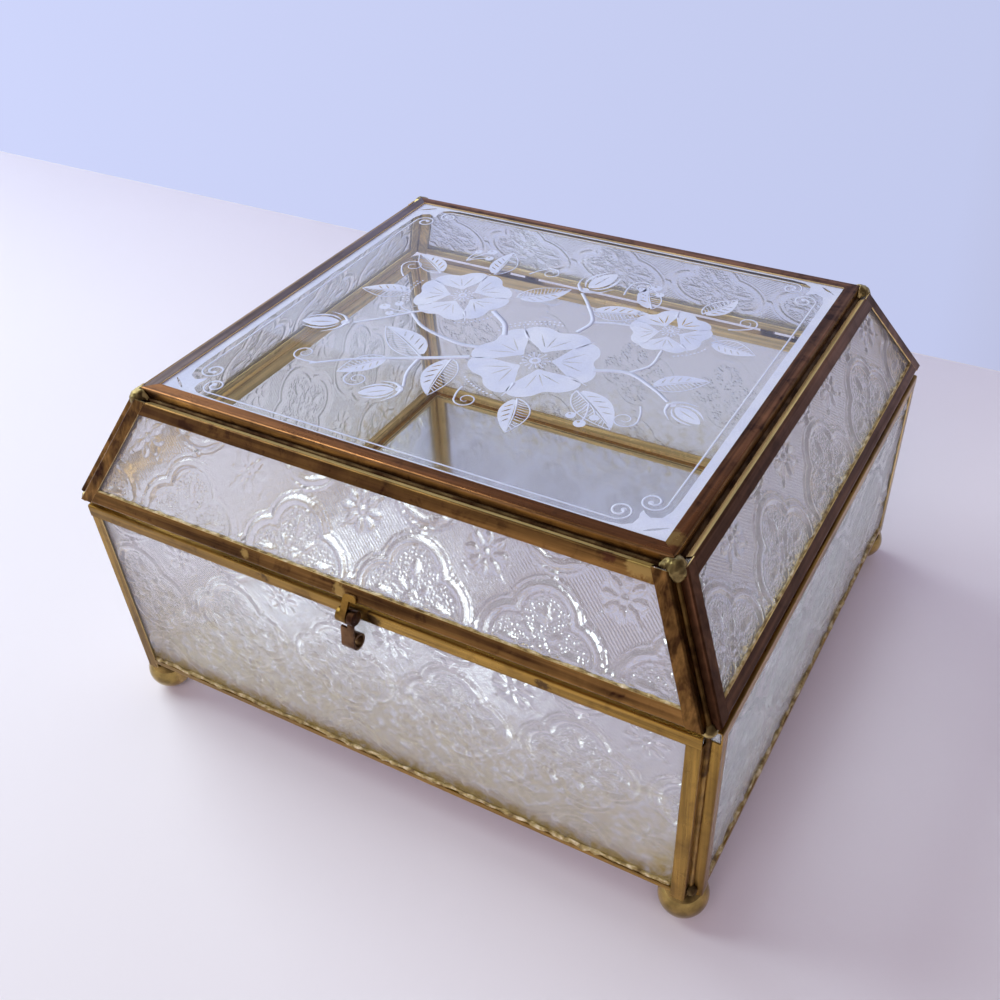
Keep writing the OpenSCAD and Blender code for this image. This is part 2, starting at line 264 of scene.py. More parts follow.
def finish_material(material, values):
    """Feeds a material's shader and lays its nodes out."""
    tree = material.node_tree
    fill(tree, tree.nodes["Principled BSDF"], values)
    lay_out(tree)
    return material


def object_place(tree):
    return add(tree, "ShaderNodeTexCoord").outputs["Object"]


def split(tree, vector):
    """A vector's X, Y and Z."""
    return add(tree, "ShaderNodeSeparateXYZ", {0: vector}).outputs


def noise(tree, vector, scale, detail=4.0, roughness=0.55, distortion=0.0):
    return add(tree, "ShaderNodeTexNoise", {"Vector": vector, "Scale": scale, "Detail": detail,
                                            "Roughness": roughness, "Distortion": distortion}).outputs["Fac"]


def ramp(tree, value, *stops):
    """Turns a value into a level or a colour; each stop is (value, level or colour)."""
    node = add(tree, "ShaderNodeValToRGB", {"Fac": value})
    band = node.color_ramp
    while len(band.elements) < len(stops):
        band.elements.new(0.5)
    for element, (place, level) in zip(band.elements, stops):
        element.position = place
        element.color = (*(level if isinstance(level, tuple) else (level, level, level)), 1.0)
    return node.outputs["Color"]


def maths(tree, how, a, b, clamp=False):
    return add(tree, "ShaderNodeMath", {0: a, 1: b}, operation=how, use_clamp=clamp).outputs[0]


def times(tree, a, b, clamp=False):
    return maths(tree, "MULTIPLY", a, b, clamp)


def plus(tree, a, *others, clamp=False):
    """A sum, whose last step may be clamped between 0 and 1."""
    for b in others:
        a = maths(tree, "ADD", a, b, clamp and b is others[-1])
    return a


def vector_maths(tree, how, a, b):
    node = add(tree, "ShaderNodeVectorMath", {0: a, "Scale" if how == "SCALE" else 1: b}, operation=how)
    return node.outputs["Value" if how in ("DOT_PRODUCT", "DISTANCE") else "Vector"]


def mixed(tree, factor, a, b, how="MIX"):
    """Two colours mixed; a Mix node numbers its factor 0 and its colours 6 and 7."""
    return add(tree, "ShaderNodeMix", {0: factor, 6: a, 7: b}, data_type="RGBA", blend_type=how).outputs[2]


def smooth_step(tree, value, low, high):
    """0 below low and 1 above high, or the other way round, with a soft change between."""
    below, above = (0, 1) if low < high else (1, 0)
    return add(tree, "ShaderNodeMapRange", {
        "Value": value, "From Min": min(low, high), "From Max": max(low, high),
        "To Min": below, "To Max": above}, interpolation_type="SMOOTHSTEP").outputs["Result"]


def shaders_mixed(tree, factor, a, b):
    """A shader that goes from shader node a to shader node b as factor goes from 0 to 1."""
    return add(tree, "ShaderNodeMixShader", {0: factor, 1: a.outputs[0], 2: b.outputs[0]})


def show(tree, shader):
    fill(tree, tree.nodes["Material Output"], {"Surface": shader.outputs[0]})


def bumped(tree, height, distance):
    """The normal of a height from 0 to 1 that stands for a distance."""
    bump = add(tree, "ShaderNodeBump", {"Strength": 1.0, "Distance": distance, "Height": height})
    return bump.outputs["Normal"]


# ---------------------------------------------------------------- brass
# what a group's colours are until they are set
BROWN, WHITE = (0.5, 0.33, 0.12, 1.0), (1.0, 1.0, 1.0, 1.0)
# the brass pattern's scale along X, Y and Z: stretched along a strip's run, or the same all round
RUNS = {"width": (25, 900, 900), "depth": (900, 25, 900), "height": (900, 900, 25)}
ALL_ROUND = (300, 300, 300)


@built_once
def aged_brass(name):
    """Colour, roughness, metallic and height of old rolled brass.

    Rolling streaks and scratches run along the strip, tarnish lies in clouds and spots, faces that
    look up are browned by painted shade and the ones that look into the box are lit to a brighter,
    less metallic gold by painted light."""
    g, given, result = new_group(
        name, {"Metal": BROWN, "Patina": BROWN, "Inside": BROWN, "Painted top shade": 0.0, "Tarnish": 0.5,
               "Polish": 0.3, "Seed": 0.0, "Along": (25.0, 900.0, 900.0)},
        ("Color", "Roughness", "Metallic", "Height"))
    coords = add(g, "ShaderNodeTexCoord").outputs
    place = vector_maths(g, "ADD", coords["Object"], given["Seed"])
    along = vector_maths(g, "MULTIPLY", place, given["Along"])
    streaks = noise(g, along, 1.0, 3, 0.6)
    bands = noise(g, vector_maths(g, "SCALE", along, 0.35), 1.0, 3, 0.6, 0.3)
    cloud = noise(g, place, 48, 6, 0.62, 0.8)
    spots = noise(g, place, 260, 4, 0.6, 0.4)

    # how much a face looks into the box, where painted light turns it gold, and how much it looks up, where
    # painted shade browns it
    flat = vector_maths(g, "MULTIPLY", coords["Object"], (1, 1, 0))
    outward = add(g, "ShaderNodeVectorMath", {0: flat}, operation="NORMALIZE").outputs["Vector"]
    lit_inward = smooth_step(g, vector_maths(g, "DOT_PRODUCT", coords["Normal"], outward), -0.15, -0.4)
    shaded_top = times(g, smooth_step(g, split(g, coords["Normal"])["Z"], 0.7, 0.95), given["Painted top shade"])

    marks = plus(g, times(g, ramp(g, cloud, (0.38, 0.0), (0.66, 1.0)), 0.55),
                 times(g, ramp(g, bands, (0.44, 0.0), (0.62, 1.0)), 0.85),
                 times(g, ramp(g, spots, (0.54, 0.0), (0.66, 1.0)), 0.35))
    total = times(g, marks, given["Tarnish"], clamp=True)
    tone = mixed(g, total, given["Metal"], given["Patina"])
    # painted light: faces that look into the box take the brighter inside gold
    inner = mixed(g, times(g, total, 0.35), given["Inside"], given["Patina"])
    tone = mixed(g, lit_inward, tone, inner)
    # painted shade: faces that look up are darkened towards red-brown
    tone = mixed(g, shaded_top, tone, mixed(g, 1.0, tone, (0.86, 0.66, 0.60), "MULTIPLY"))
    fine = ramp(g, streaks, (0.3, 0.62), (0.7, 1.3))
    fill(g, result, {
        "Color": mixed(g, 1.0, tone, fine, "MULTIPLY"),
        "Roughness": plus(g, times(g, total, 0.22), given["Polish"], times(g, streaks, 0.1), clamp=True),
        # painted light: faces that look into the box are made less metallic, so that they show brighter
        "Metallic": maths(g, "SUBTRACT", 1.0, times(g, lit_inward, 0.75)),
        "Height": plus(g, times(g, spots, 0.6), times(g, streaks, 0.35))})
    lay_out(g)
    return g


@built_once
def stain(name):
    """Lays a ragged, soft-edged blot round a place over a colour."""
    g, given, result = new_group(name, {"Color": BROWN, "Blot": BROWN, "Place": (0.0, 0.0, 0.0),
                                        "Radius": 2.0 * MM}, ("Color",))
    place = object_place(g)
    away = vector_maths(g, "DISTANCE", place, given["Place"])
    ragged = plus(g, times(g, noise(g, place, 330, 3, 0.6, 0.5), 4.5 * MM),
                  times(g, noise(g, place, 1100, 3, 0.6), 2.0 * MM))
    reach = maths(g, "SUBTRACT", plus(g, away, ragged), given["Radius"])
    mask = times(g, smooth_step(g, reach, 3.9 * MM, 2.7 * MM), 0.8)
    fill(g, result, {"Color": mixed(g, mask, given["Color"], given["Blot"])})
    lay_out(g)
    return g


# inside is the painted-light gold of faces that look into the box
def brass_material(name, metal, inside, patina, tarnish, polish, seed, bump=0.12, top_shade=0.0,
                   along=ALL_ROUND, stains_and_shadows=()):
    """Aged brass; bump is in millimetres, and each of the stains and painted shadows is (place in
    millimetres, radius, colour).
    """
    material, tree = new_material(name)
    aged = add(tree, "ShaderNodeGroup", {
        "Metal": metal, "Inside": inside, "Patina": patina, "Painted top shade": top_shade, "Tarnish": tarnish,
        "Polish": polish, "Seed": seed, "Along": along}, node_tree=aged_brass()).outputs
    tone = aged["Color"]
    for place, radius, blot in stains_and_shadows:
        tone = add(tree, "ShaderNodeGroup", {
            "Color": tone, "Blot": blot, "Place": [c * MM for c in place], "Radius": radius * MM},
            node_tree=stain()).outputs["Color"]
    return finish_material(material, {
        "Base Color": tone, "Roughness": aged["Roughness"], "Metallic": aged["Metallic"],
        "Normal": bumped(tree, aged["Height"], bump * MM)})


# ---------------------------------------------------------------- glass
def let_lamps_through(tree, tint):
    """Lets lamplight straight through a pane, so that what stands behind it is lit."""
    lamps = add(tree, "ShaderNodeLightPath").outputs["Is Shadow Ray"]
    clear = add(tree, "ShaderNodeBsdfTransparent", {"Color": tint})
    show(tree, shaders_mixed(tree, lamps, tree.nodes["Principled BSDF"], clear))


def painted(tree, name):
    """The value that a pane carries at each point under a name."""
    return add(tree, "ShaderNodeAttribute", attribute_name=name).outputs["Fac"]


@built_once
def pressed_glass(name):
    """Colour, roughness and height of pressed glass, from masks painted on its panes.

    Its stippled and hatched grounds are finer than the mesh; a painted reflection of the brass and old polish
    show in its foot."""
    g, given, result = new_group(name, {"Tint": WHITE, "Sill gold": BROWN, "Frost": 0.12},
                                 ("Color", "Roughness", "Height"))
    uv = add(g, "ShaderNodeUVMap", uv_map="pane").outputs["UV"]
    stipple = painted(g, "stipple")
    patchy = ramp(g, noise(g, uv, 38.0, 4, 0.6, 0.5), (0.3, 0.25), (0.65, 1.5))
    # painted reflection of the sill's brass, together with the old polish in the lower right corner
    glow = smooth_step(g, times(g, painted(g, "sill_glow"), patchy), 0.15, 0.9)
    dots = add(g, "ShaderNodeTexVoronoi", {"Scale": 118.0, "Smoothness": 0.4, "Randomness": 0.75,
                                           "Vector": uv}, feature="SMOOTH_F1")
    pearls = times(g, ramp(g, dots.outputs["Distance"], (0.0, 1.0), (0.62, 0.0)), stipple)
    lines = add(g, "ShaderNodeTexWave", {"Scale": 62.0, "Distortion": 2.0, "Detail": 1.0, "Detail Scale": 0.3,
                                         "Vector": uv}, wave_type="BANDS", bands_direction="DIAGONAL")
    hatching = times(g, times(g, lines.outputs["Fac"], painted(g, "hatch")), 0.2)
    ripple = times(g, noise(g, uv, 46.0, 4, 0.55, 0.4), 0.4)
    crumbs = times(g, times(g, noise(g, uv, 230.0, 3, 0.6, 0.3), glow), 1.3)
    fill(g, result, {
        "Color": mixed(g, glow, given["Tint"], given["Sill gold"]),
        "Roughness": plus(g, times(g, stipple, given["Frost"]), 0.11),
        "Height": plus(g, pearls, hatching, ripple, crumbs)})
    lay_out(g)
    return g


def pressed_glass_material(name, settings, tint, clearness):
    """Pressed glass, milkier the lower its clearness."""
    material, tree = new_material(name)
    pressed = add(tree, "ShaderNodeGroup", {"Tint": tint, "Sill gold": settings.sill_gold,
                                            "Frost": settings.frost}, node_tree=pressed_glass()).outputs
    let_lamps_through(tree, (0.66, 0.66, 0.67))
    return finish_material(material, {
        "Base Color": pressed["Color"], "Roughness": pressed["Roughness"], "IOR": 1.5,
        "Transmission Weight": clearness, "Normal": bumped(tree, pressed["Height"], 0.34 * MM)})


# ---------------------------------------------------------------- pressed panes
def pane_frame(node):
    """A flat pane's own frame: its middle, its axes across, up and out, and its outline along them."""
    points = np.unique(np.round([v.co[:] for v in NODES[node].data.vertices], 6), axis=0)
    middle = points.mean(0)
    _, _, axes = np.linalg.svd(points - middle)
    out = axes[2] if axes[2] @ (middle - np.array([0, 0, middle[2]])) > 0 else -axes[2]
    across = np.cross((0.0, 0.0, 1.0), out)
    across /= np.linalg.norm(across)
    up = np.cross(out, across)
    local = np.stack([(points - middle) @ a for a in (across, up, out)], 1)
    low, high = local[:, 1].min(), local[:, 1].max()
    foot = local[np.isclose(local[:, 1], low, rtol=0, atol=1e-5)]
    head = local[np.isclose(local[:, 1], high, rtol=0, atol=1e-5)]
    return {"middle": middle, "axes": (across, up, out), "low": low, "high": high,
            "foot": np.abs(foot[:, 0]).max(), "head": np.abs(head[:, 0]).max(),
            "inner": local[:, 2].min(), "outer": local[:, 2].max()}


def half_width(f, share):
    """Half of a pane's width at a share of its height."""
    return f["foot"] + (f["head"] - f["foot"]) * share


def lens(x, y, cx, cy, angle, length, width):
    """A pointed oval, 1 at its middle and 0 at its outline."""
    c, s = math.cos(angle), math.sin(angle)
    a = ((x - cx) * c + (y - cy) * s) / length
    b = (-(x - cx) * s + (y - cy) * c) / width
    return np.clip(1 - a * a - np.abs(b) ** 1.6, 0, 1)


def ridge(d, width):
    """A rounded ridge along d = 0, as wide as width."""
    return np.clip(1 - (2 * d / width) ** 2, 0, 1) ** 0.8


def boss(d, radius):
    """A round button, 1 at d = 0 and 0 from its radius on."""
    return np.clip(1 - (d / radius) ** 2, 0, 1)


def pressed_relief(u, v, pitch):
    """Height from 0 to 1, and the stipple and hatch masks, of the pressed pattern at u, v in metres.

    Lobed medallions stand on a square lattice, touching at a bead, with a daisy in each gap."""
    p = pitch / MM
    x = np.abs((u / MM + p / 2) % p - p / 2)
    y = np.abs((v / MM + p / 2) % p - p / 2)
    big, small = np.maximum(x, y), np.minimum(x, y)
    k = p / DRAWN_PITCH
    # the lobes' outline, 0 on it, with the bands along it
    edge = np.hypot(big - 6.3 * k, small) - 8.5 * k
    height = 0.95 * ridge(edge + 1.35, 2.3) + 0.55 * ridge(edge - 0.45, 0.7) + 0.4 * ridge(edge + 3.1, 0.7)
    inside = np.clip(-(edge + 3.3) / 0.4, 0, 1)
    # in the medallion: four long petals, four leaves between them, eight darts and a ringed boss
    height += 1.0 * np.sqrt(lens(big, small, 7.4 * k, 0, 0, 2.6 * k, 1.15 * k))
    height += 0.8 * np.sqrt(lens(big, small, 3.1 * k, 3.1 * k, math.pi / 4, 1.9 * k, 1.0 * k))
    height += 0.6 * np.sqrt(lens(big, small, 3.9 * k, 0.9 * k, 0.5, 1.0 * k, 0.5 * k))
    centre = np.hypot(big, small)
    height += 0.9 * boss(centre, 1.0 * k) + 0.6 * ridge(centre - 1.75 * k, 0.7)
    # in the gap: an eight-petalled daisy
    gx, gy = p / 2 - x, p / 2 - y
    gap, bearing = np.hypot(gx, gy), np.arctan2(gy, gx)
    turn = (bearing + math.pi / 8) % (math.pi / 4) - math.pi / 8
    petal = lens(gap * np.cos(turn), gap * np.sin(turn), 3.35 * k, 0, 0, 1.9 * k, 0.95 * k)
    height += 0.85 * np.sqrt(petal) - 0.35 * np.clip(petal * 2 - 1, 0, 1)
    height += 0.9 * boss(gap, 0.95 * k)
    # small sprigs between the daisy and the bands, and the bead where two medallions touch
    turn = bearing % (math.pi / 2) - math.pi / 4
    height += 0.5 * np.sqrt(lens(gap * np.cos(turn), gap * np.sin(turn), 6.3 * k, 0, 0, 0.9 * k, 0.5 * k))
    height += 0.9 * boss(np.hypot(p / 2 - big, small), 1.1 * k)
    stipple = inside * np.clip(1 - height * 2.5, 0, 1)
    hatch = np.clip((edge - 0.9) / 0.4, 0, 1) * np.clip((gap - 5.0 * k) / 0.6, 0, 1)
    return np.clip(height, 0, 1.25) / 1.25, stipple, hatch


def close_behind(pane, depth):
    """Gives a pane's sheet its rim and its flat back."""
    bpy.ops.object.mode_set(mode="EDIT")
    bpy.ops.mesh.select_all(action="SELECT")
    bpy.ops.mesh.region_to_loop()
    bpy.ops.mesh.extrude_edges_move(TRANSFORM_OT_translate={"value": (0, 0, -depth)})
    bpy.ops.mesh.edge_face_add()
    bpy.ops.mesh.select_all(action="SELECT")
    bpy.ops.mesh.normals_make_consistent(inside=False)
    bpy.ops.object.mode_set(mode="OBJECT")
    pane.vertex_groups.clear()
    bpy.ops.object.shade_smooth_by_angle(angle=math.radians(50))


def pressed_pane(part, side, shift, settings, material):
    """One pane: a grid laid out on the flat pane's outline, raised by its relief and closed behind."""
    node = f"{part}_glass_{side}"
    f = pane_frame(node)
    tall, ground = f["high"] - f["low"], f["outer"] - GROUND
    wide = 2 * max(f["foot"], f["head"])
    deselect_all()
    bpy.ops.mesh.primitive_grid_add(x_subdivisions=round(wide / settings.grid),
                                    y_subdivisions=round(tall / settings.grid), size=2.0)
    pane = bpy.context.object
    pane.name = pane.data.name = f"{part}_pressed_pane_{side}"
    co = np.empty(len(pane.data.vertices) * 3)
    pane.data.vertices.foreach_get("co", co)
    co = co.reshape(-1, 3)
    share = (co[:, 1] + 1) / 2
    half = half_width(f, share)
    u, v = co[:, 0] * half, share * tall
    spots = np.stack([u, v + f["low"], np.full(len(u), ground)], 1)
    pane.data.vertices.foreach_set("co", spots.ravel())

    # the pattern fades out before it reaches the strips
    height, stipple, hatch = pressed_relief(u - shift[0] * MM, v - shift[1] * MM, settings.pitch)
    slant = math.cos(math.atan2(abs(f["foot"] - f["head"]), tall))
    margin = np.minimum(np.minimum(v, tall - v), (half - np.abs(u)) * slant)
    fade = np.clip((margin - settings.lip) / FADE, 0, 1)
    weights = pane.vertex_groups.new(name="relief")
    for index, weight in enumerate((height * fade).tolist()):
        if weight > LEAST_RELIEF:
            weights.add((index,), weight, "REPLACE")

    # a painted reflection of the brass shows in the foot of a base pane, and old polish has gathered in its
    # lower right corner
    glow = np.clip(1 - (v - settings.lip * 0.5) / settings.sill_glow, 0, 1)
    away = np.hypot((half - settings.lip - u) / CORNER_STAIN[0], (v - settings.lip) / CORNER_STAIN[1])
    glow = np.maximum(glow, 0.85 * np.clip(1 - away, 0, 1))
    glow *= GLOW[part] * (1.0 if side == "front" else 0.5)
    for label, values in (("stipple", stipple * fade), ("hatch", hatch * fade), ("sill_glow", glow)):
        layer = pane.data.attributes.new(label, "FLOAT", "POINT")
        layer.data.foreach_set("value", values.astype(np.float32))
    loops = np.empty(len(pane.data.loops), np.int32)
    pane.data.loops.foreach_get("vertex_index", loops)
    uv = pane.data.uv_layers[0]
    uv.name = "pane"
    uv.data.foreach_set("uv", (np.stack([u, v], 1)[loops] * UV_PER_METRE).astype(np.float32).ravel())

    lift = pane.modifiers.new("relief", "DISPLACE")
    lift.direction = "Z"
    lift.mid_level = 0.0
    weaker = {"back": settings.far_relief, "left": (1 + settings.far_relief) / 2}
    lift.strength = settings.relief * weaker.get(side, 1.0)
    lift.vertex_group = "relief"
    apply_modifiers(pane)
    close_behind(pane, ground - f["inner"])
    place_on(pane, f["axes"], f["middle"])
    return finish_piece(pane, material, part, node)


class CASKET_OT_pressed_panes(bpy.types.Operator):
    """Replaces the eight wall panes by pressed glass with its raised pattern"""
    bl_idname = "casket.pressed_panes"
    bl_label = "Pressed panes"

    def execute(self, context):
        s = context.scene.casket_glass
        # where a medallion's middle lies on each pane, across from its middle line and up from its foot
        for part, tint, clearness, shifts in (
                ("lid", s.tint, s.clearness, ((14.6, 4.45), (-27.1, 7.1), (5.0, 12.0), (11.0, 7.0))),
                ("base", s.base_tint, s.base_clearness,
                 ((-7.9, 31.2), (9.0, 27.0), (2.0, 30.0), (-6.0, 33.0)))):
            material = pressed_glass_material(f"{part}_pressed_glass", s, tint, clearness)
            for side, shift in zip(SIDES, shifts):
                pressed_pane(part, side, shift, s, material)
        return {"FINISHED"}


# ---------------------------------------------------------------- clear pane and mirror
def clear_glass_material():
    """Smooth glass with a few faint smears."""
    material, tree = new_material("clear_pane")
    smears = noise(tree, object_place(tree), 40, 5, 0.7, 1.0)
    let_lamps_through(tree, (0.9, 0.91, 0.92))
    return finish_material(material, {
        "Base Color": (0.985, 0.99, 0.99), "Roughness": ramp(tree, smears, (0.45, 0.0), (0.8, 0.05)),
        "IOR": 1.5, "Transmission Weight": 1.0})


def mirror_material():
    """A mirror under a thin film of dust."""
    material, tree = new_material("mirror_floor")
    dust = noise(tree, object_place(tree), 60, 6, 0.7, 0.5)
    return finish_material(material, {
        "Base Color": ramp(tree, dust, (0.35, (0.92, 0.92, 0.92)), (0.75, (0.85, 0.85, 0.86))),
        "Roughness": ramp(tree, dust, (0.4, 0.09), (0.85, 0.2)), "Metallic": 1.0})


class CASKET_OT_clear_pane_and_mirror(bpy.types.Operator):
    """Gives the lid's clear pane and the mirror floor their finish"""
    bl_idname = "casket.clear_pane_and_mirror"
    bl_label = "Clear pane and mirror"

    def execute(self, context):
        dress(clear_glass_material(), "lid_top_glass")
        dress(mirror_material(), "floor_mirror")
        return {"FINISHED"}


# ---------------------------------------------------------------- etched drawing
# Points are in millimetres on the top pane, x to the box's right and y to its back.
# how far the etching's underside lies over the pane, and half of a frosted shape's thickness
ETCH_LIFT, ETCH_HALF = 0.004, 0.012
# how much finer than listed the drawing's lines come out, and how much broader its leaves
LINE_SHARE, LEAF_SHARE = 0.72, 1.2


def through(points, steps=8, closed=False):
    """A smooth line through the given points."""
    p = np.array(points, float)
    p = np.vstack([p[-1], p, p[:2]]) if closed else np.vstack([2 * p[0] - p[1], p, 2 * p[-1] - p[-2]])
    line = []
    for a, b, c, d in zip(p, p[1:], p[2:], p[3:]):
        for t in np.arange(steps) / steps:
            line.append(0.5 * (2 * b + (c - a) * t + (2 * a - 5 * b + 4 * c - d) * t**2
                               + (3 * b - a - 3 * c + d) * t**3))
    return np.array(line if closed else [*line, p[-2]])


def turned(points, at, angle, flip=1):
    """Points flipped, turned by an angle in degrees and moved."""
    p = np.asarray(points, float) * (1, flip)
    c, s = math.cos(math.radians(angle)), math.sin(math.radians(angle))
    return np.stack([p[:, 0] * c - p[:, 1] * s + at[0], p[:, 0] * s + p[:, 1] * c + at[1]], 1)


def spot(point, at, angle, flip=1):
    """One point, turned and moved."""
    return turned([point], at, angle, flip)[0]


def ring(at, radius, angles):
    """Points round a middle at the given angles in radians."""
    return np.stack([at[0] + radius * np.cos(angles), at[1] + radius * np.sin(angles)], 1)


def disc(at, radius, sides=12):
    return ring(at, radius, np.arange(sides) * 2 * math.pi / sides)


def sliver(a, b, width):
    """A thin pointed shape from a to b, left clear inside a frosted one."""
    a, b = np.array(a, float), np.array(b, float)
    side = np.array([a[1] - b[1], b[0] - a[0]]) / np.linalg.norm(b - a) * width / 2
    return through([a, a * 0.6 + b * 0.4 + side, b, a * 0.6 + b * 0.4 - side], 3, closed=True)


class Etching:
    """Gathers the drawing's frosted shapes and its lines."""

    def __init__(self):
        self.shapes, self.lines = [], []

    def frost(self, *outlines):
        """One frosted shape; outlines after the first are left clear inside it."""
        self.shapes.append(outlines)

    def line(self, points, start, end=None):
        """A line whose half width goes from start to end."""
        half = np.linspace(start, start if end is None else end, len(points)) * LINE_SHARE
        self.lines.append((np.asarray(points, float), half))

    def leaf(self, at, angle, length, width, bend=0.0, flip=1):
        """A leaf with one half frosted and clear-veined and the other half hatched."""
        width *= LEAF_SHARE

        def on_leaf(s, side):
            swell = math.sin(math.pi * s**0.8) ** 0.85 * width / 2
            return (s * length, bend * (s * s - s) * length + side * swell)

        def stroke(points, start, end):
            self.line(turned([on_leaf(*point) for point in points], at, angle, flip), start, end)

        middle = [on_leaf(s, -0.06) for s in np.linspace(0.06, 0.94, 9)]
        edge = [on_leaf(s, -1) for s in np.linspace(0.98, 0.04, 14)]
        veins = [sliver(*turned([on_leaf(s, -0.22), on_leaf(s + 0.11, -0.8)], at, angle, flip), 0.42)
                 for s in (0.18, 0.32, 0.46, 0.6)]
        self.frost(turned(middle + edge, at, angle, flip), *veins)
        stroke([(s, 0.05) for s in np.linspace(0.0, 1.0, 10)], 0.42, 0.14)
        stroke([(s, 1) for s in np.linspace(0.0, 1.0, 16)], 0.3, 0.2)
        for s in np.linspace(0.1, 0.82, max(6, int(length / 1.25))):
            stroke([(s, 0.16), (s + 0.04, 0.5), (min(s + 0.07, 0.97), 0.9)], 0.22, 0.1)

    def rose(self, at, radius, turn, petals=5, stamens=14):
        """An open wild rose: notched petals with clear veins, and a ring of stamens."""
        r = radius
        wide = r * math.tan(math.pi / petals)
        half = [(0.36 * r, 0.17 * wide), (0.6 * r, 0.62 * wide), (0.82 * r, 0.8 * wide),
                (0.97 * r, 0.62 * wide), (1.0 * r, 0.3 * wide)]
        other = [(x, -y) for x, y in half[::-1]]
        outline = through([(0.27 * r, 0), *half, (0.93 * r, 0), *other], 4, closed=True)
        for k in range(petals):
            angle = turn + 360 * k / petals
            veins = [turned(sliver((0.42 * r, 0.12 * y * wide), (0.78 * r, y * wide * 0.9), 0.4), at, angle)
                     for y in (-0.42, 0.0, 0.42)]
            self.frost(turned(outline, at, angle), *veins)
            # the sepal between two petals
            sepal = [(0.72 * r, 0), (0.9 * r, 0.02 * r), (1.12 * r, 0)]
            self.line(turned(sepal, at, angle + 180 / petals), 0.7, 0.1)
        self.frost(disc(at, 0.1 * r), disc(at, 0.05 * r, 8))
        for k in range(stamens):
            angle = turn + 360 * k / stamens
            reach = (0.22, 0.18)[k % 2] * r
            self.line(turned([(0.12 * r, 0), (reach, 0)], at, angle), 0.2, 0.16)
            self.frost(disc(spot((reach + 0.25, 0), at, angle), 0.3, 8))

    def bud(self, at, angle, size):
        """A bud on its calyx, half open."""
        def curve(points, side=1, closed=True):
            return turned(through(np.array(points) * size, 4, closed), at, angle, side)

        self.frost(curve([(0.22, 0), (0.45, 0.17), (0.75, 0.16), (1.0, 0.0), (0.75, -0.16), (0.45, -0.17)]),
                   turned(sliver((0.36 * size, 0.0), (0.84 * size, 0.03 * size), 0.4), at, angle))
        for side in (1, -1):
            sepal = [(0.2, 0.07), (0.36, 0.24), (0.66, 0.29), (0.95, 0.16), (0.72, 0.22), (0.42, 0.22)]
            self.frost(curve(sepal, side))
            self.line(curve([(0.05, 0.04), (0.2, 0.26), (0.5, 0.40)], side, False), 0.8, 0.1)
        self.frost(disc(spot((0.1 * size, 0), at, angle), 0.09 * size))

    def berry(self, at, radius):
        """A berry with a clear highlight."""
        shine = (at[0] - 0.35 * radius, at[1] + 0.35 * radius)
        self.frost(disc(at, radius, 16), disc(shine, 0.28 * radius, 8))

    def curl(self, start, angle, size, flip):
        """A tendril that runs out and coils up."""
        t = np.linspace(0, 1, 34)
        coil = ring((0.62 * size, 0.32 * size), 0.32 * size * (1 - 0.78 * t),
                    2 * math.pi * 1.35 * t - math.pi / 2)
        run = through([(0, 0.12 * size), (0.3 * size, 0.03 * size), coil[0]], 6)[:-1]
        self.line(turned(np.vstack([run, coil]), start, angle, flip), 0.4, 0.16)


def volute(centre, start, way, radius, lead):
    """The border's line, from its lead into a spiral about centre."""
    t = np.linspace(0, 1, 40)
    angles = math.radians(start) + way * 2 * math.pi * 1.35 * t
    return np.vstack([lead, ring(centre, radius * (1 - 0.74 * t), angles)])


def draw_border(e):
    """A fine line that ends in two volutes at each corner, inside a frosted band."""
    along = volute((54.1, 52.4), 90, -1, 2.9, [(0, 55.3), (20, 55.3), (46, 55.3), (51, 55.3)])
    up = volute((59.2, 46.9), 0, 1, 3.1, [(62.3, 0), (62.3, 20), (62.3, 40), (62.3, 44)])
    half = np.interp(np.arange(len(along)), [0, 20, len(along) - 1], [0.24, 0.26, 0.36])
    for flip in ((1, 1), (1, -1), (-1, 1), (-1, -1)):
        for path in (along, up):
            e.lines.append((path * flip, half))
            e.frost(disc(path[-1] * flip, 0.62))
    # the band's outline runs in toward the volutes with a point at each corner
    corner = [(64.1, 0), (64.1, 44.0), (63.9, 48.2), (62.9, 51.0), (60.7, 52.0), (59.2, 51.2), (58.4, 50.3),
              (58.2, 51.6), (58.6, 53.0), (58.2, 55.2), (56.4, 56.4), (53.0, 56.9), (46.0, 57.0), (0, 57.0)]
    inner = []
    for sx, sy in ((1, 1), (-1, 1), (-1, -1), (1, -1)):
        run = [(x * sx, y * sy) for x, y in corner]
        inner += (run if sx == sy else run[::-1])[:-1]
    outer = [(67.0, 58.2), (-67.0, 58.2), (-67.0, -58.2), (67.0, -58.2)]
    arcs = [sliver((61.0 * sx, 56.4 * sy), (65.6 * sx, 53.2 * sy), 0.7) for sx in (1, -1) for sy in (1, -1)]
    e.frost(outer, inner, *arcs)


